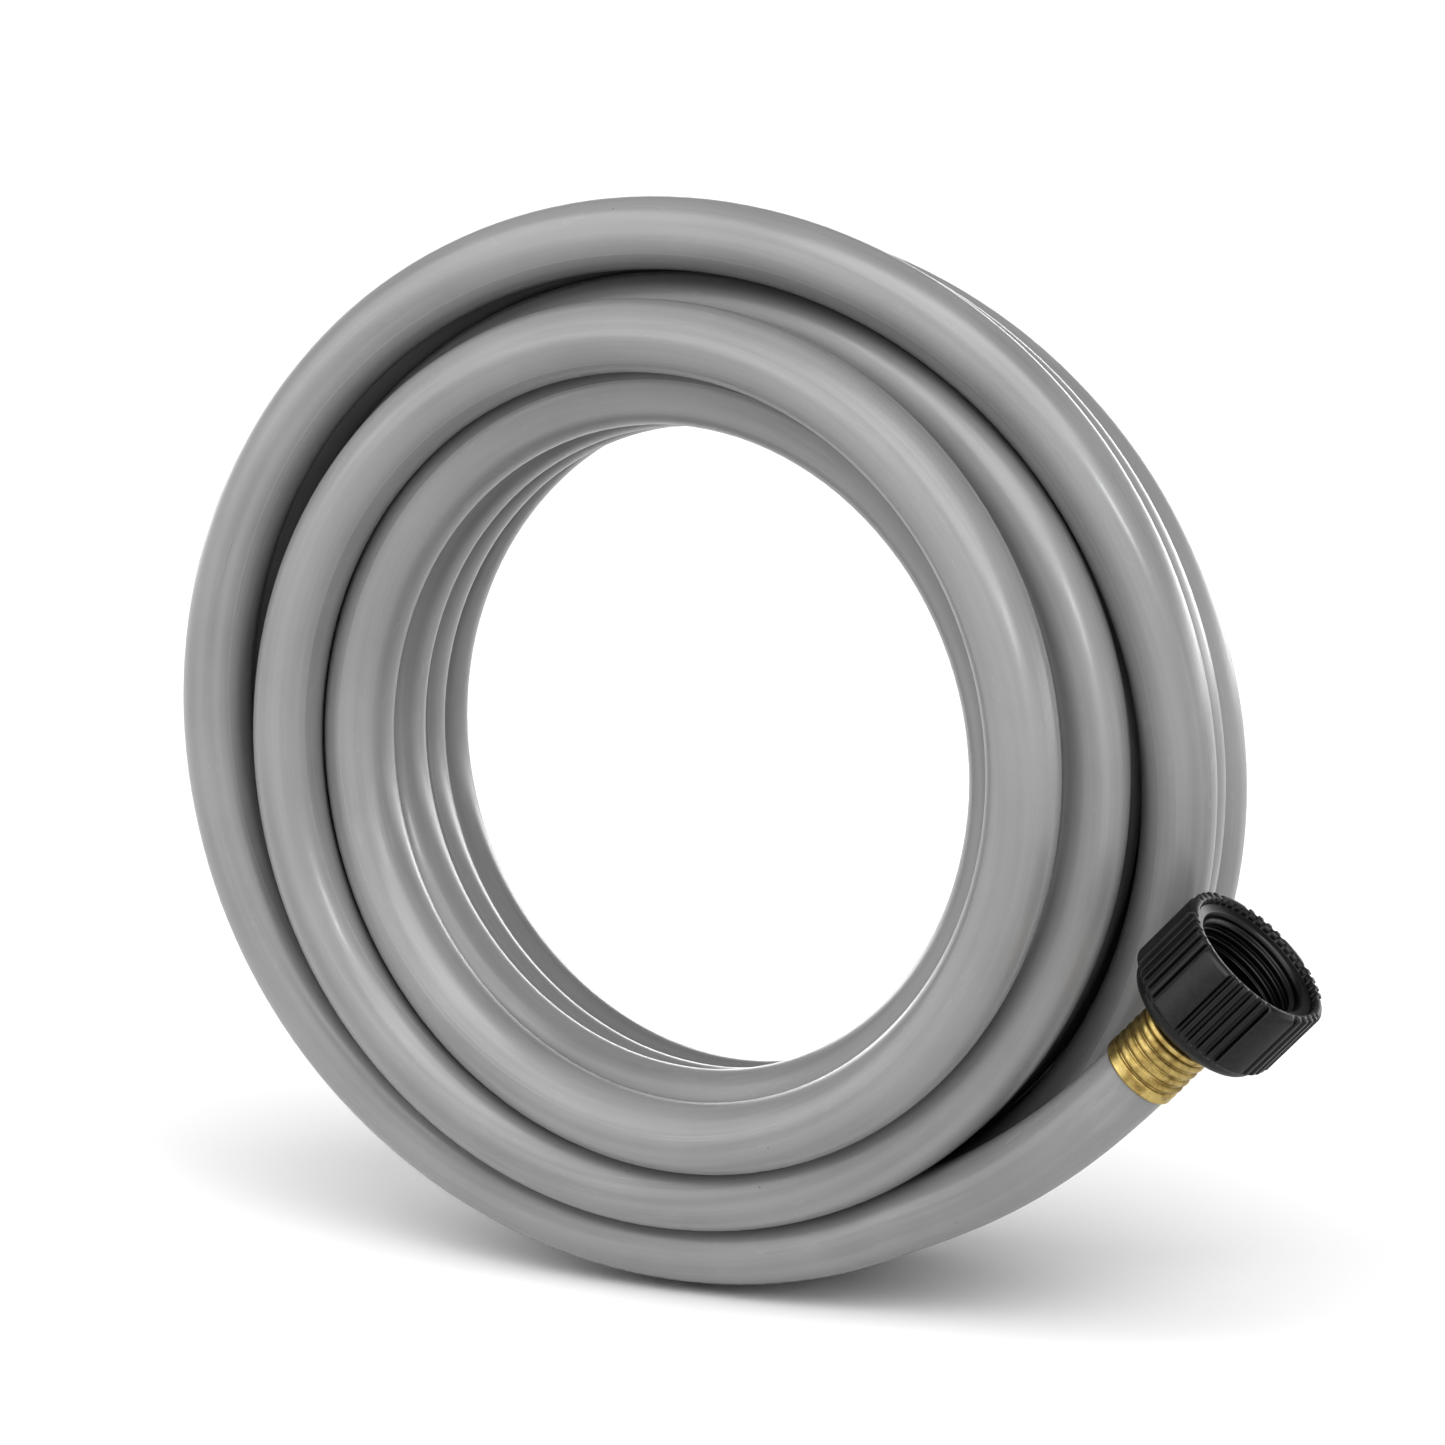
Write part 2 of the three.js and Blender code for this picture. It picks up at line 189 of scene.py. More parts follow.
def grid_mesh(name, points, closed_rows=False, capped=False, **attributes):
    """A skin over rows of points, each row closed on itself. closed_rows joins the last row to the
    first; capped closes the first and last rows with a fan. Each attribute has one value a point."""
    rows, columns = points.shape[:2]
    mesh = bpy.data.meshes.new(name)
    vertices = points.reshape(-1, 3)
    last = rows if closed_rows else rows - 1
    row = np.arange(last)[:, None]
    column = np.arange(columns)[None, :]
    next_row = (row + 1) % rows
    next_column = (column + 1) % columns
    corners = [row * columns + column, row * columns + next_column,
               next_row * columns + next_column, next_row * columns + column]
    faces = np.stack([np.broadcast_to(c, (last, columns)) for c in corners], -1).reshape(-1, 4).tolist()
    if capped:
        middles = np.stack([points[0].mean(0), points[-1].mean(0)])
        vertices = np.vstack([vertices, middles])
        for end, start in ((0, 0), (1, (rows - 1) * columns)):
            middle = rows * columns + end
            faces += [[start + i, start + (i + 1) % columns, middle] for i in range(columns)]
    mesh.from_pydata(vertices.tolist(), [], faces)
    tidy = bmesh.new()
    tidy.from_mesh(mesh)
    bmesh.ops.recalc_face_normals(tidy, faces=tidy.faces)
    tidy.to_mesh(mesh)
    tidy.free()
    mesh.polygons.foreach_set("use_smooth", [True] * len(mesh.polygons))
    for key, values in attributes.items():
        values = np.asarray(values, np.float32)
        is_vector = values.ndim == 3
        flat = values.reshape(-1, 3) if is_vector else values.reshape(-1)
        if capped:
            ends = np.stack([flat[0], flat[-1]])
            flat = np.concatenate([flat, ends])
        layer = mesh.attributes.new(key, "FLOAT_VECTOR" if is_vector else "FLOAT", "POINT")
        layer.data.foreach_set("vector" if is_vector else "value", flat.ravel())
    piece = bpy.data.objects.new(name, mesh)
    bpy.context.collection.objects.link(piece)
    return piece


def smooth(low, high, value):
    """0 below low, 1 above high, easing between them."""
    t = np.clip((value - low) / (high - low), 0, 1)
    return t * t * (3 - 2 * t)


# ---- the hose's route ---------------------------------------------------------------------------


def smooth_rows(rows, at):
    """Catmull-Rom through the rows, at the given row numbers."""
    start = np.clip(np.floor(at).astype(int), 0, len(rows) - 2)
    t = (at - start)[:, None]
    before, here, after, beyond = (rows[np.clip(start + k, 0, len(rows) - 1)] for k in (-1, 0, 1, 2))
    bend = 2 * before - 5 * here + 4 * after - beyond
    twist = 3 * (here - after) + beyond - before
    return here + t * (after - before + t * (bend + t * twist)) / 2


def turn_rows():
    """One row a turn: radius, shift right and down, depth, and lean at the right and bottom."""
    rows = []
    for turns, first_radius, widening, first_depth, step, lean_right, lean_bottom in LAYERS:
        for turn in range(turns):
            radius = (first_radius + turn * widening) * MM
            depth = (first_depth + turn * step) * MM
            if rows and turn == 0:
                radius += CLIMB * (rows[-1][0] - radius)
            right = COIL_RIGHT + SKEW_RIGHT * depth
            down = COIL_DOWN + SKEW_DOWN * depth
            rows.append((radius, right, down, depth, lean_right * MM, lean_bottom * MM))
    return np.array(rows)


def coil_turns():
    """Angle, radius and depth all along the wound part of the hose."""
    count = round((COIL_ENDS - COIL_STARTS) * CLOCK / 360) + 1
    degrees = COIL_STARTS + np.arange(count) * 360 / CLOCK
    angle = np.radians(degrees)
    turn = smooth_rows(turn_rows(), degrees / 360)
    radius = turn[:, 0] + turn[:, 1] * np.cos(angle) + turn[:, 2] * np.sin(angle)
    depth = turn[:, 3] + turn[:, 4] * np.cos(angle) + turn[:, 5] * np.sin(angle)
    return angle, radius, depth


def settle(angle, radius, depth):
    """Pushes turns that would lie in each other apart, and keeps the hose off the floor."""
    count = len(angle)
    floor_room = np.where(np.sin(angle) > 0.3, REST_DEPTH / np.maximum(np.sin(angle), 0.3), 1)
    # 0 where a point may not move, at the two ends, and 1 where it may move freely
    held = np.ones(count)
    held[:HELD_POINTS] = np.linspace(0, 1, HELD_POINTS)
    held[-HELD_POINTS:] = np.linspace(1, 0, HELD_POINTS)
    rest = (radius.copy(), depth.copy())
    for _ in range(SETTLE_PASSES):
        push = np.zeros((2, count))
        for turn in range(CLOCK, count, CLOCK):
            across = np.stack([radius[turn:] - radius[:-turn], depth[turn:] - depth[:-turn]])
            apart = np.hypot(*across)
            short = 0.35 * np.clip(STRAND_PITCH - apart, 0, None) / np.maximum(apart, 1e-6)
            push[:, turn:] += short * across
            push[:, :-turn] -= short * across
        radius += push[0] * held
        depth += push[1] * held
        # the hose is stiff, so what moves takes its neighbours along
        for moved, start in zip((radius, depth), rest, strict=True):
            shift = moved - start
            for _ in range(3):
                shift[1:-1] += 0.5 * ((shift[:-2] + shift[2:]) / 2 - shift[1:-1])
            moved[:] = start + shift * held
        np.minimum(radius, floor_room, out=radius)
    return radius, depth


def front_tail():
    """From the front ferrule to where the wound part starts."""
    t = np.linspace(0, 1, TAIL_POINTS)
    axis = np.array([math.cos(FRONT_RISE), 0, math.sin(FRONT_RISE)])
    inward = np.array([-axis[2], 0, axis[0]])
    turned = FRONT_TURN * t[:, None]
    back_along = axis * FRONT_BEND * np.sin(turned)
    points = np.array(FRONT_START) - back_along + inward * FRONT_BEND * (1 - np.cos(turned))
    points[:, 1] += (FRONT_TAIL_DEPTH - FRONT_START[1]) * smooth(0, 1, t)
    return points, axis


def back_tail():
    """From the end of the wound part to the back ferrule."""
    t = np.linspace(0, 1, TAIL_POINTS)
    angle = BACK_ANGLE + BACK_ARC * (1 - t)
    depth = BACK_TAIL_DEPTH + (BACK_DEPTH - BACK_TAIL_DEPTH) * smooth(0, 1, t)
    points = np.stack([BACK_RADIUS * np.cos(angle), depth, BACK_RADIUS * np.sin(angle)], -1)
    axis = np.array([math.sin(BACK_ANGLE), 0, -math.cos(BACK_ANGLE)])
    return points, axis


def join(radius, depth, end, ease):
    """Moves one end of the wound part onto the tail that it goes on in, easing in over some points."""
    share = 1 - smooth(0, len(ease), np.arange(len(ease)))
    radius[ease] += share * (math.hypot(end[0], end[2]) - radius[ease[0]])
    depth[ease] += share * (end[1] - depth[ease[0]])


def hose_route():
    """The middle of the hose from the front ferrule to the back one, from the coil's centre."""
    angle, radius, depth = coil_turns()
    radius, depth = settle(angle, radius, depth)
    front, front_axis = front_tail()
    back, back_axis = back_tail()
    join(radius, depth, front[-1], np.arange(JOIN_POINTS))
    join(radius, depth, back[0], np.arange(len(angle) - 1, len(angle) - 1 - JOIN_POINTS, -1))
    wound = np.stack([radius * np.cos(angle), depth, -radius * np.sin(angle)], -1)
    return np.vstack([front, wound[1:-1], back]), front_axis, back_axis


def even_out(points, spacing):
    """The same line with its points evenly spaced."""
    along = np.concatenate([[0], np.cumsum(np.linalg.norm(np.diff(points, axis=0), axis=1))])
    count = round(along[-1] / spacing)
    at = np.linspace(0, along[-1], count + 1)
    return np.stack([np.interp(at, along, points[:, k]) for k in range(3)], -1), at


route, FRONT_AXIS, BACK_AXIS = hose_route()
route = route + np.array(COIL_CENTRE)

# ---- materials ----------------------------------------------------------------------------------


class Nodes:
    """A material's node tree, built in order of use."""

    def __init__(self, name):
        self.material = bpy.data.materials.new(name)
        self.material.use_nodes = True
        self.tree = self.material.node_tree
        self.tree.nodes.clear()
        self.shader = self.add("ShaderNodeBsdfPrincipled")
        output = self.add("ShaderNodeOutputMaterial")
        self.tree.links.new(self.shader.outputs["BSDF"], output.inputs["Surface"])

    def add(self, kind, inputs=(), **settings):
        node = self.tree.nodes.new(kind)
        for key, value in settings.items():
            setattr(node, key, value)
        for key, value in dict(inputs).items():
            self.put(node.inputs[key], value)
        return node

    def put(self, socket, value):
        if isinstance(value, bpy.types.NodeSocket):
            self.tree.links.new(value, socket)
        else:
            socket.default_value = value

    def attribute(self, name, output="Fac"):
        return self.add("ShaderNodeAttribute", attribute_name=name).outputs[output]

    def place(self):
        return self.add("ShaderNodeTexCoord").outputs["Object"]

    def scaled(self, vector, scale):
        return self.add("ShaderNodeMapping", {"Vector": vector, "Scale": scale}).outputs["Vector"]

    def noise(self, vector, scale, detail=2.0, roughness=0.5):
        inputs = {"Vector": vector, "Scale": scale, "Detail": detail, "Roughness": roughness}
        return self.add("ShaderNodeTexNoise", inputs).outputs["Fac"]

    def spots(self, vector, scale, low, high):
        """1 in small scattered spots, 0 elsewhere."""
        cells = self.add("ShaderNodeTexVoronoi", {"Vector": vector, "Scale": scale})
        return self.between(cells.outputs["Distance"], low, high, 1, 0)

    def between(self, value, low, high, start=0.0, end=1.0):
        inputs = {"Value": value, "From Min": low, "From Max": high, "To Min": start, "To Max": end}
        return self.add("ShaderNodeMapRange", inputs).outputs["Result"]

    def maths(self, operation, a, b=0.0):
        node = self.add("ShaderNodeMath", operation=operation)
        self.put(node.inputs[0], a)
        self.put(node.inputs[1], b)
        return node.outputs["Value"]

    def mix(self, factor, a, b):
        node = self.add("ShaderNodeMix", data_type="RGBA")
        self.put(node.inputs["Factor"], factor)
        self.put(node.inputs[6], a)
        self.put(node.inputs[7], b)
        return node.outputs[2]

    def bump(self, height, strength, distance, under=None):
        inputs = {"Height": height, "Strength": strength, "Distance": distance}
        if under is not None:
            inputs["Normal"] = under
        return self.add("ShaderNodeBump", inputs).outputs["Normal"]

    def finish(self, **inputs):
        for key, value in inputs.items():
            self.put(self.shader.inputs[key.replace("_", " ")], value)
        return self.material


def grey(level, tint=0.0):
    return (level, level, level * (1 + tint), 1)


def vinyl():
    n = Nodes("satin_grey_vinyl")
    run = n.attribute("hose_run", "Vector")
    around = n.attribute("hose_angle")
    # die marks drawn out along the hose, broad and fine
    broad = n.noise(n.scaled(run, (1, 1, 0.02)), 260, 3)
    fine = n.noise(n.scaled(run, (1, 1, 0.012)), 1500, 2)
    cloud = n.noise(run, 26, 3)
    ripple = n.noise(n.scaled(run, (0.25, 0.25, 1)), 420, 2)
    grain = n.noise(run, 2600, 2)
    pits = n.spots(run, 70, 0.014, 0.022)
    scuff = n.between(n.noise(n.scaled(run, (1, 1, 0.25)), 95, 5, 0.62), 0.63, 0.72)
    # two mould lines run the whole length
    line = n.maths("ABSOLUTE", n.maths("SINE", around))
    seam = n.between(line, 0.0, 0.035, 1, 0)
    tone = n.mix(n.between(broad, 0.3, 0.7), grey(0.186), grey(0.242))
    tone = n.mix(n.between(fine, 0.35, 0.65, 0, 0.12), tone, grey(0.13))
    tone = n.mix(n.maths("MULTIPLY", n.between(cloud, 0.35, 0.7), 0.45), tone, grey(0.26, 0.02))
    tone = n.mix(n.maths("MULTIPLY", scuff, 0.2), tone, grey(0.32))
    tone = n.mix(n.maths("MULTIPLY", seam, 0.22), tone, grey(0.32))
    tone = n.mix(n.maths("MULTIPLY", pits, 0.8), tone, grey(0.12))
    rough = n.maths("ADD", n.between(broad, 0.3, 0.7, 0.29, 0.37), n.maths("MULTIPLY", scuff, 0.16))
    rough = n.maths("ADD", rough, n.between(fine, 0.3, 0.7, -0.03, 0.04))
    height = n.maths("ADD", n.maths("MULTIPLY", broad, 0.5), n.maths("MULTIPLY", fine, 0.22))
    height = n.maths("ADD", height, n.maths("MULTIPLY", ripple, 0.28))
    height = n.maths("ADD", height, n.maths("MULTIPLY", seam, 0.5))
    height = n.maths("SUBTRACT", height, n.maths("MULTIPLY", pits, 0.8))
    normal = n.bump(height, 0.5, 0.12 * MM)
    normal = n.bump(grain, 0.12, 0.03 * MM, normal)
    # a thin glossy skin, rubbed uneven, that carries the narrow highlights
    gloss = n.between(n.noise(n.scaled(run, (1, 1, 0.3)), 330, 4, 0.6), 0.35, 0.65, 0.12, 0.28)
    skin = n.between(n.noise(n.scaled(run, (1, 1, 0.015)), 620, 3, 0.6), 0.38, 0.62, 0.04, 0.4)
    return n.finish(Base_Color=tone, Roughness=rough, Normal=normal, Specular_IOR_Level=0.5,
                    Coat_Weight=skin, Coat_Roughness=gloss, Coat_Normal=normal)


def brass():
    n = Nodes("tarnished_brass")
    where = n.place()
    recess = n.attribute("recess")
    blotch = n.noise(where, 260, 5, 0.6)
    smear = n.noise(n.scaled(where, (1, 0.4, 1)), 900, 4, 0.6)
    clean = n.mix(n.between(smear, 0.3, 0.7), (0.43, 0.33, 0.13, 1), (0.54, 0.44, 0.21, 1))
    stained = n.mix(n.between(blotch, 0.45, 0.72), clean, (0.22, 0.15, 0.055, 1))
    deep = n.mix(n.maths("MULTIPLY", recess, 0.95), stained, (0.07, 0.045, 0.015, 1))
    rough = n.between(blotch, 0.3, 0.75, 0.26, 0.46)
    rough = n.maths("ADD", rough, n.maths("MULTIPLY", recess, 0.2))
    normal = n.bump(n.noise(where, 2200, 3), 0.16, 0.04 * MM)
    normal = n.bump(blotch, 0.2, 0.1 * MM, normal)
    return n.finish(Base_Color=deep, Metallic=1.0, Roughness=rough, Normal=normal)


def black_plastic():
    n = Nodes("black_moulded_plastic")
    where = n.place()
    worn = n.attribute("worn")
    cloud = n.noise(where, 140, 3)
    scratch = n.between(n.noise(n.scaled(where, (1, 1, 0.2)), 700, 4, 0.65), 0.6, 0.7)
    tone = n.mix(n.between(cloud, 0.3, 0.7), grey(0.003), grey(0.006))
    rubbed = n.maths("MULTIPLY", worn, n.between(n.noise(where, 900, 3), 0.35, 0.65))
    tone = n.mix(n.maths("MULTIPLY", rubbed, 0.5), tone, grey(0.03))
    tone = n.mix(n.maths("MULTIPLY", scratch, 0.12), tone, grey(0.03))
    rough = n.between(cloud, 0.3, 0.7, 0.3, 0.4)
    rough = n.maths("ADD", rough, n.maths("MULTIPLY", rubbed, 0.12))
    normal = n.bump(n.noise(where, 3200, 2), 0.22, 0.05 * MM)
    return n.finish(Base_Color=tone, Roughness=rough, Normal=normal, Specular_IOR_Level=0.5)


def rubber():
    n = Nodes("black_washer_rubber")
    where = n.place()
    cloud = n.noise(where, 400, 4)
    tone = n.mix(cloud, grey(0.006), grey(0.02))
    normal = n.bump(n.noise(where, 1800, 3), 0.4, 0.08 * MM)
    return n.finish(Base_Color=tone, Roughness=n.between(cloud, 0.3, 0.7, 0.7, 0.85), Normal=normal)


VINYL, BRASS, PLASTIC, RUBBER = vinyl(), brass(), black_plastic(), rubber()


def finish_piece(piece, material, slot, body, *nodes):
    piece.data.materials.append(material)
    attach(piece, body)
    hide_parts(*nodes)
    return piece


# ---- hose ---------------------------------------------------------------------------------------


def hose_tube():
    """The hose as one tube, slightly out of round, running on inside both ferrules."""
    inside = np.linspace(INSIDE_FERRULE, RING_SPACING, 4)[:, None]
    line, _ = even_out(route, RING_SPACING)
    line = np.vstack([line[0] + FRONT_AXIS * inside, line, line[-1] + BACK_AXIS * inside[::-1]])
    along = np.concatenate([[0], np.cumsum(np.linalg.norm(np.diff(line, axis=0), axis=1))])
    tangent = np.gradient(line, axis=0)
    tangent /= np.linalg.norm(tangent, axis=1)[:, None]
    outward = line - np.array(COIL_CENTRE)
    outward[:, 1] = 0
    outward -= (outward * tangent).sum(1)[:, None] * tangent
    outward /= np.linalg.norm(outward, axis=1)[:, None]
    sideways = np.cross(tangent, outward)
    theta = np.arange(HOSE_SIDES) * 2 * math.pi / HOSE_SIDES
    # winding squeezes the hose a little across the bend, and no two stretches are quite alike
    squeeze = OVAL * (1 + 0.5 * np.sin(along / 0.21) + 0.3 * np.sin(along / 0.083 + 1))[:, None]
    size = HOSE_RADIUS * (1 + SWELL * (np.sin(along / 0.047) + np.sin(along / 0.13 + 2)))[:, None]
    ends = smooth(0, 12 * MM, np.minimum(along, along[-1] - along) - INSIDE_FERRULE)[:, None]
    squeeze *= ends
    radius = size * (1 - squeeze * np.cos(2 * theta))
    points = line[:, None] + radius[..., None] * (
        np.cos(theta)[None, :, None] * outward[:, None] + np.sin(theta)[None, :, None] * sideways[:, None])
    angle = theta[None, :] + TWIST * along[:, None]
    run = np.stack([HOSE_RADIUS * np.cos(angle), HOSE_RADIUS * np.sin(angle),
                    np.broadcast_to(along[:, None], angle.shape)], -1)
    tube = grid_mesh("hose_tube", points, capped=True, hose_run=run, hose_angle=angle)
    return finish_piece(tube, VINYL, "hose_vinyl", "hose", "hose_coil", "hose_front_tail",
                        "hose_back_tail", "hose_front_end", "hose_back_end"), line


hose, hose_line = hose_tube()

# ---- turned fittings ----------------------------------------------------------------------------


def turned(name, centre, axis, length, profile, columns=128, **attributes):
    """A ring-shaped skin round an axis. profile(angle) gives rows of (radius, height), each a value
    or one value an angle, that go once round the wall. centre is the middle of the length."""
    along = Vector(axis).normalized()
    across = along.cross(Vector((0, 1, 0))).normalized()
    third = along.cross(across)
    angle = np.arange(columns) * 2 * math.pi / columns
    rows = profile(angle)
    radius = np.stack([np.broadcast_to(r, angle.shape) for r, _ in rows])
    height = np.stack([np.broadcast_to(h, angle.shape) for _, h in rows]) - length / 2
    points = (np.array(centre) + radius[..., None] * (
        np.cos(angle)[None, :, None] * np.array(across) + np.sin(angle)[None, :, None] * np.array(third))
        + height[..., None] * np.array(along))
    given = {key: make(radius, height + length / 2) for key, make in attributes.items()}
    return grid_mesh(name, points, closed_rows=True, **given)


def middle_of(node):
    low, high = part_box(node)
    return (low + high) / 2


def rounded(corners, reach=0.25 * MM, steps=4):
    """The closed outline with each corner rounded off."""
    points = []
    count = len(corners)
    for i in range(count):
        before, here, after = (np.array(corners[(i + k) % count], float) for k in (-1, 0, 1))
        into, out = here - before, after - here
        cut = min(reach, 0.45 * np.linalg.norm(into), 0.45 * np.linalg.norm(out))
        start = here - cut * into / np.linalg.norm(into)
        end = here + cut * out / np.linalg.norm(out)
        for t in np.linspace(0, 1, steps):
            points.append((1 - t) ** 2 * start + 2 * t * (1 - t) * here + t**2 * end)
    return [tuple(p) for p in points]


def thread(angle, start, turns, root, crest, hand, rows_per_turn=12):
    """Rows of a screw thread, from its root radius to its crest, running out at both ends."""
    rows = []
    for i in range(round(turns * rows_per_turn) + 1):
        place = i / rows_per_turn
        phase = (place - hand * angle / (2 * math.pi)) % 1
        ridge = smooth(0.1, 0.38, phase) - smooth(0.62, 0.9, phase)
        run_out = smooth(0, 0.7, place) * smooth(0, 0.7, turns - place)
        rows.append((root + (crest - root) * ridge * run_out, start + place * THREAD_PITCH))
    return rows


def ferrule_outside(height):
    """The crimped shell's radius at a height, and how far that is into a groove."""
    place = (height - FERRULE_BAND) / RIDGE_PITCH
    ridged = (place > -0.25) & (place < RIDGES + 0.25)
    # rounded ridges that meet in narrow grooves
    groove = np.where(ridged, 1 - np.abs(np.sin(math.pi * place)) ** 0.55, 0)
    eased = smooth(-0.25, 0, place) * smooth(-0.25, 0, RIDGES - place)
    return FERRULE_CREST - GROOVE_DEPTH * groove * eased, groove * eased


def ferrule_profile(angle):
    rows = []
    inside = FERRULE_CREST - FERRULE_WALL
    for height in np.linspace(0, FERRULE_LENGTH, 130):
        radius, _ = ferrule_outside(height)
        edge = min(height, FERRULE_LENGTH - height)
        radius -= 0.3 * MM * (1 - smooth(0, 0.45 * MM, edge))
        # the crimping jaws leave the shell faintly uneven
        dent = 0.035 * MM * np.sin(3 * angle + height * 900) + 0.02 * MM * np.sin(8 * angle + 1)
        rows.append((radius + dent, height))
    rows += [(STEM + 0.4 * MM, FERRULE_LENGTH), (STEM + 0.4 * MM, FERRULE_LENGTH - 0.8 * MM)]
    rows += [(inside, FERRULE_LENGTH - 0.9 * MM), (inside, 0.25 * MM), (inside + 0.1 * MM, 0)]
    return rows


def ferrule(name, node, axis):
    def recess(radius, height):
        _, groove = ferrule_outside(height)
        return np.clip(groove, 0, 1)

    shell = turned(name, middle_of(node), axis, FERRULE_LENGTH, ferrule_profile, recess=recess)
    return finish_piece(shell, BRASS, "brass", "hose", node)


def no_recess(radius, height):
    return np.zeros_like(radius)


FLANGE_BACK = NUT_START + 3.6 * MM
FLANGE_FRONT = FLANGE_BACK + 2.4 * MM


def stem_profile(angle):
    return rounded([
        (STEM, 1 * MM), (STEM, FERRULE_LENGTH - 0.3 * MM),
        (NECK, FERRULE_LENGTH + 0.2 * MM), (NECK, FLANGE_BACK),
        (FLANGE, FLANGE_BACK), (FLANGE, FLANGE_FRONT), (STEM_BORE, FLANGE_FRONT), (STEM_BORE, 1 * MM),
    ])


def washer_profile(angle):
    start = FLANGE_FRONT + 0.3 * MM
    return rounded([
        (WASHER, start), (WASHER, start + 3 * MM), (WASHER_BORE, start + 3 * MM), (WASHER_BORE, start),
    ], 0.5 * MM, 6)


def male_profile(angle):
    collar = 15 * MM
    root = collar + 4 * MM
    start = root + 0.4 * MM
    collar_flats = COLLAR - 0.5 * MM * smooth(0.6, 1, np.cos(6 * angle))
    body = rounded([(STEM, 1 * MM), (STEM, FERRULE_LENGTH - 0.3 * MM), (NECK, FERRULE_LENGTH + 0.2 * MM),
                    (NECK, collar)])
    rows = body + [(collar_flats, collar + 0.1 * MM), (collar_flats + 0.2 * MM, collar + 0.5 * MM)]
    rows += [(collar_flats + 0.2 * MM, root - 0.4 * MM), (collar_flats, root), (MALE_ROOT, root + 0.05 * MM)]
    rows += thread(angle, start, MALE_THREAD_TURNS, MALE_ROOT, MALE_CREST, 1)
    rows += [(MALE_ROOT, MALE_LENGTH - 0.6 * MM), (MALE_ROOT - 0.6 * MM, MALE_LENGTH)]
    rows += [(MALE_BORE + 0.4 * MM, MALE_LENGTH), (MALE_BORE, MALE_LENGTH - 0.4 * MM), (MALE_BORE, collar)]
    return rows + [(STEM_BORE, collar), (STEM_BORE, 1 * MM)]


# ---- swivel nut ---------------------------------------------------------------------------------


def nut_outside(angle):
    """The nut's radius round its wall: smooth lobes with narrow ribs between them."""
    place = ((angle - NUT_TURN) * NUT_LOBES / (2 * math.pi)) % 1
    lobe = smooth(0, 0.03, place) * smooth(0, 0.03, LOBE_SHARE - place)
    across = (place - LOBE_SHARE) / (1 - LOBE_SHARE)
    phase = (across * (RIBS + 0.2) - 0.1) % 1
    rib = smooth(0.14, 0.3, phase) * smooth(0.14, 0.3, 1 - phase) * (across > 0)
    crown = LOBE_CROWN * (1 - ((place / LOBE_SHARE) * 2 - 1) ** 2) * (place < LOBE_SHARE)
    outside = NUT_GROOVE + (NUT_LOBE - LOBE_CROWN - NUT_GROOVE) * lobe + crown
    return outside + (NUT_RIB - NUT_GROOVE) * rib, lobe


def nut_profile(angle):
    outside, lobe = nut_outside(angle)
    smooth_wall = NUT_GROOVE - 0.35 * MM
    front = NUT_LENGTH
    rows = [(NECK + 0.4 * MM, 0.0), (NUT_BACK, 0.0)]
    # rounded shoulder
    for t in np.linspace(0.12, 1, 9):
        rows.append((NUT_BACK + (smooth_wall - NUT_BACK) * math.sin(t * math.pi / 2),
                     NUT_SHOULDER * (1 - math.cos(t * math.pi / 2))))
    # lobes and ribs rise out of the shoulder
    for t in np.linspace(0, 1, 9)[1:]:
        rise = smooth(0, 1, t)
        rows.append((smooth_wall + (outside - smooth_wall) * rise, NUT_SHOULDER + 1.6 * t * MM))
    for height in np.linspace(NUT_SHOULDER + 2 * MM, front - 1.2 * MM, 10):
        rows.append((outside, height))
    # the lobes are bevelled at the rim, so that the ribs stand out past them
    bevel = (0.25 + 0.8 * lobe) * MM
    rows += [(outside - 0.03 * MM, front - bevel), (outside - 0.4 * bevel, front - 0.45 * bevel)]
    rows.append((outside - 0.9 * bevel, front))
    # the thin rim stands round a recess, and its inner edge is notched all round
    step = (angle * NOTCHES / (2 * math.pi)) % 1
    notch = smooth(0.62, 0.7, step) * smooth(0, 0.08, 1 - step)
    lip = RECESS + 0.35 * MM
    rows += [(lip + 0.1 * MM, front), (lip, front - 0.1 * MM)]
    rows += [(lip - 0.1 * MM + NOTCH_DEPTH * notch, front - 0.25 * MM)]
    rows += [(RECESS + NOTCH_DEPTH * notch, front - 0.5 * MM)]
    rows += [(RECESS + NOTCH_DEPTH * notch, front - 1.15 * MM), (RECESS, front - 1.25 * MM)]
    rows += [(RECESS, front - RECESS_DEPTH + 0.1 * MM), (RECESS - 0.1 * MM, front - RECESS_DEPTH)]
    rows += [(NUT_MOUTH + 0.1 * MM, front - RECESS_DEPTH)]
    rows += [(NUT_MOUTH - 0.1 * MM, front - RECESS_DEPTH - 0.15 * MM)]
    last = front - THREAD_SET_BACK
    first = last - NUT_THREAD_TURNS * THREAD_PITCH
    rows.append((THREAD_MAJOR, last + 0.05 * MM))
    threads = thread(angle, first, NUT_THREAD_TURNS, THREAD_MAJOR, THREAD_MINOR, 1)
    rows += threads[::-1]
    rows += [(THREAD_MAJOR, first - 0.1 * MM), (THREAD_MAJOR, 3.4 * MM), (THREAD_MAJOR - 0.2 * MM, 3.2 * MM)]
    rows += [(NECK + 0.6 * MM, 3.2 * MM), (NECK + 0.4 * MM, 3.0 * MM)]
    return rows


def nut_wear(radius, height):
    proud = smooth(NUT_RIB - 0.15 * MM, NUT_LOBE, radius)
    rim = smooth(NUT_LENGTH - 0.8 * MM, NUT_LENGTH - 0.1 * MM, height) * smooth(15.5 * MM, 17 * MM, radius)
    return np.clip(0.5 * proud + rim, 0, 1)


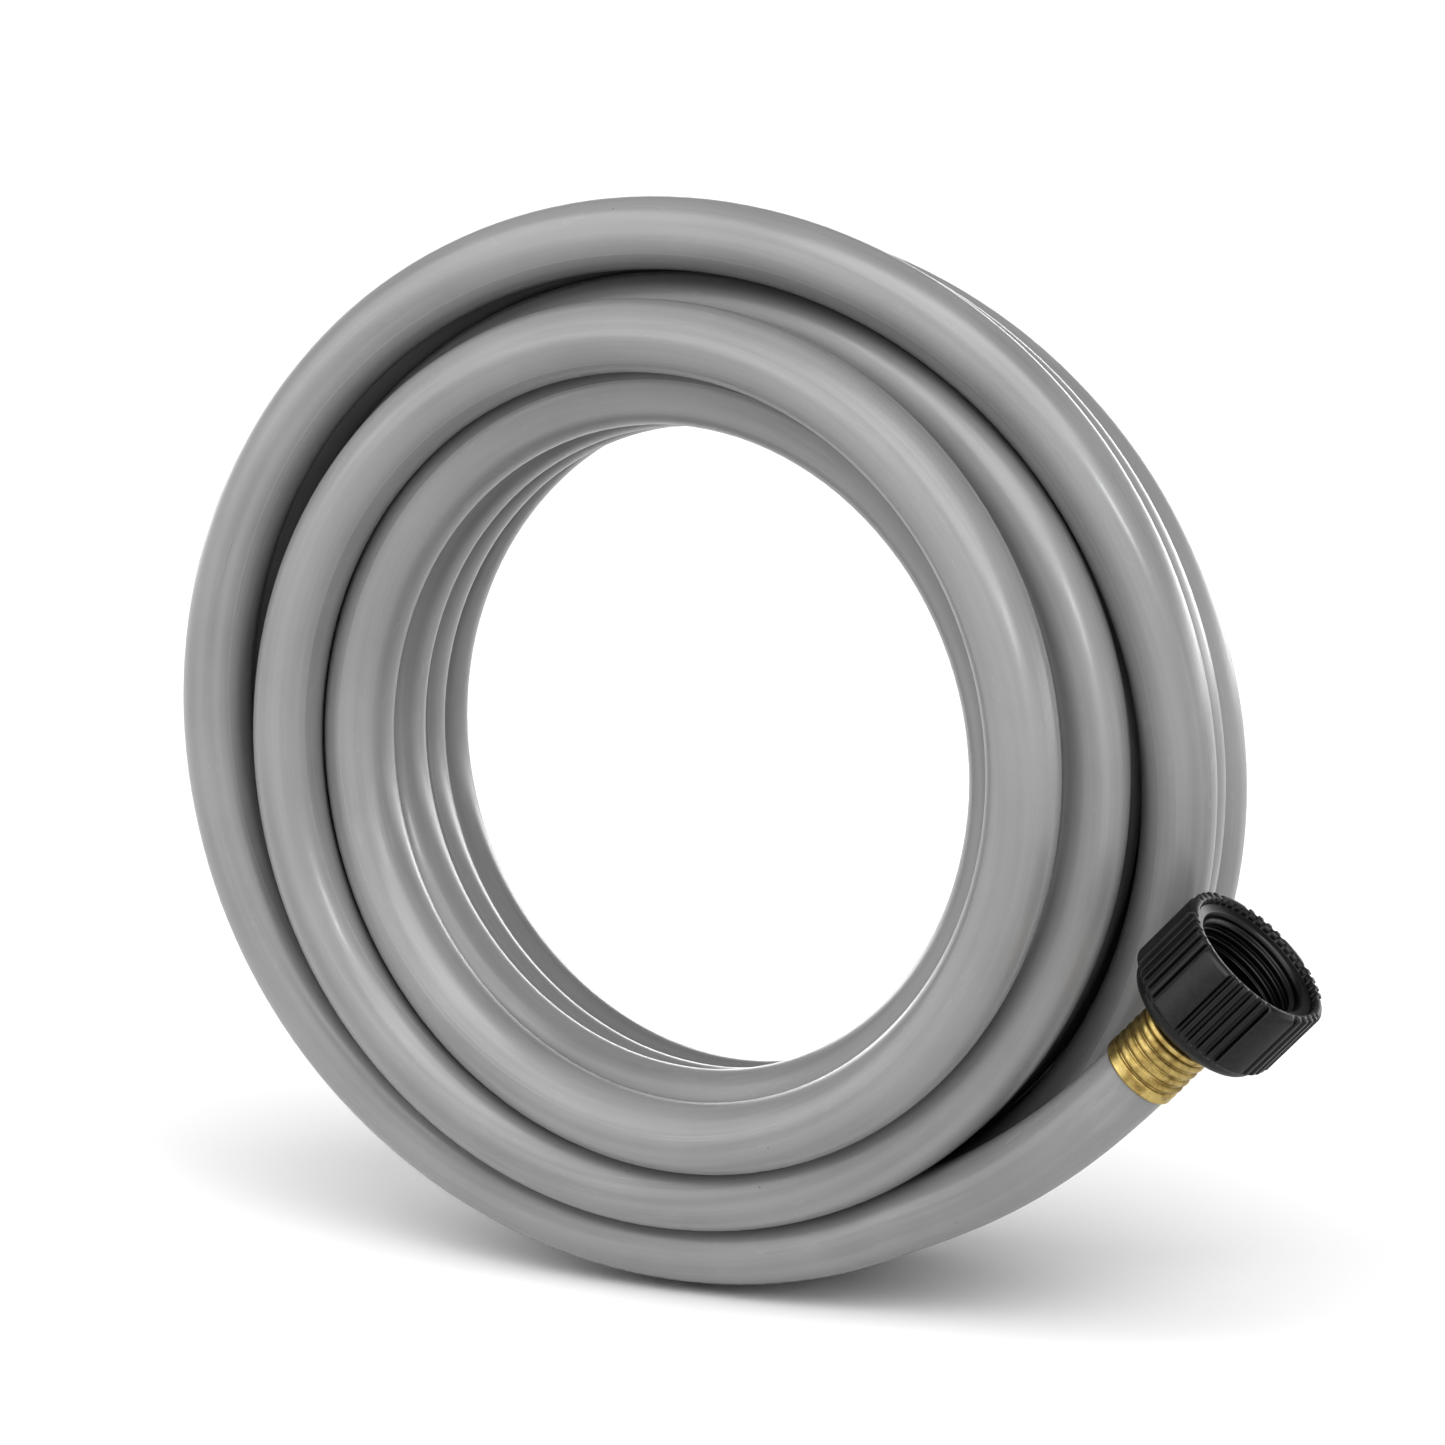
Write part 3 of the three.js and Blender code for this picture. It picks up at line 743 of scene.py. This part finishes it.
NUT_AXIS = Vector(frame["joints"][0]["axis"])
NUT_CENTRE = middle_of("swivel_nut")
FRONT_ORIGIN = middle_of("front_ferrule") - NUT_AXIS * FERRULE_LENGTH / 2
BACK_ORIGIN = middle_of("back_ferrule") - Vector(BACK_AXIS) * FERRULE_LENGTH / 2

female_ferrule = ferrule("ferrule_at_nut", "front_ferrule", NUT_AXIS)
male_ferrule = ferrule("ferrule_at_male_end", "back_ferrule", BACK_AXIS)
stem = turned("stem_with_flange", FRONT_ORIGIN, NUT_AXIS, 0, stem_profile, recess=no_recess)
finish_piece(stem, BRASS, "brass", "hose", "swivel_stem")
male = turned("male_thread", BACK_ORIGIN, BACK_AXIS, 0, male_profile, 192, recess=no_recess)
finish_piece(male, BRASS, "brass", "hose", "male_coupling")
nut = turned("nut_with_ribs", NUT_CENTRE, NUT_AXIS, NUT_LENGTH, nut_profile, 720, worn=nut_wear)
finish_piece(nut, PLASTIC, "nut_plastic", "nut", "swivel_nut")
washer = turned("washer", FRONT_ORIGIN, NUT_AXIS, 0, washer_profile)
finish_piece(washer, RUBBER, "washer_rubber", "nut", "hose_washer")

# ---- floor and light ----------------------------------------------------------------------------

WHITE_BAND = 0.12           # sine of the height above the horizon
HORIZON = 1.05              # how bright the room is all round
BACKDROP = 3.0              # and behind the coil
CEILING = 0.3


def add_floor():
    reach = 12
    points = [(-reach, -reach, 0), (reach, -reach, 0), (reach, reach, 0), (-reach, reach, 0)]
    mesh = bpy.data.meshes.new("floor")
    mesh.from_pydata(points, [], [(0, 1, 2, 3)])
    floor = bpy.data.objects.new("floor", mesh)
    bpy.context.collection.objects.link(floor)
    n = Nodes("pale_floor")
    mesh.materials.append(n.finish(Base_Color=grey(0.88), Roughness=0.7))


def add_light(name, azimuth, rise, softness, strength):
    """A large far softbox, softness degrees across, that shines from that side of the front."""
    data = bpy.data.lights.new(name, "SUN")
    data.angle = math.radians(softness)
    data.energy = strength
    light = bpy.data.objects.new(name, data)
    light.rotation_euler = (math.radians(90 - rise), 0, math.radians(azimuth))
    bpy.context.collection.objects.link(light)


def add_studio():
    """A room that is white along the horizon, brightest behind the coil, and pale grey above."""
    world = bpy.data.worlds.new("studio")
    world.use_nodes = True
    tree = world.node_tree
    where = tree.nodes.new("ShaderNodeTexCoord").outputs["Generated"]

    def fade(value, low, high, start, end):
        node = tree.nodes.new("ShaderNodeMapRange")
        tree.links.new(value, node.inputs["Value"])
        ends = {"From Min": low, "From Max": high, "To Min": start, "To Max": end}
        for key, number in ends.items():
            node.inputs[key].default_value = number
        return node.outputs["Result"]

    split = tree.nodes.new("ShaderNodeSeparateXYZ")
    tree.links.new(where, split.inputs["Vector"])
    behind = fade(split.outputs["Y"], 0.2, 0.8, HORIZON, BACKDROP)
    above = tree.nodes.new("ShaderNodeMix")
    tree.links.new(fade(split.outputs["Z"], WHITE_BAND, WHITE_BAND + 0.15, 0, 1), above.inputs["Factor"])
    tree.links.new(behind, above.inputs["A"])
    above.inputs["B"].default_value = CEILING
    tree.links.new(above.outputs["Result"], tree.nodes["Background"].inputs["Strength"])
    tree.nodes["Background"].inputs["Color"].default_value = (1, 1, 1, 1)
    bpy.context.scene.world = world


add_floor()
add_light("key", 42, 48, 56, 1.7)
add_light("strip", 58, 20, 12, 0.34)
add_light("fill", -35, 34, 64, 1.1)
add_studio()
bpy.context.scene.view_settings.view_transform = "Standard"
bpy.context.scene.view_settings.look = "High Contrast"
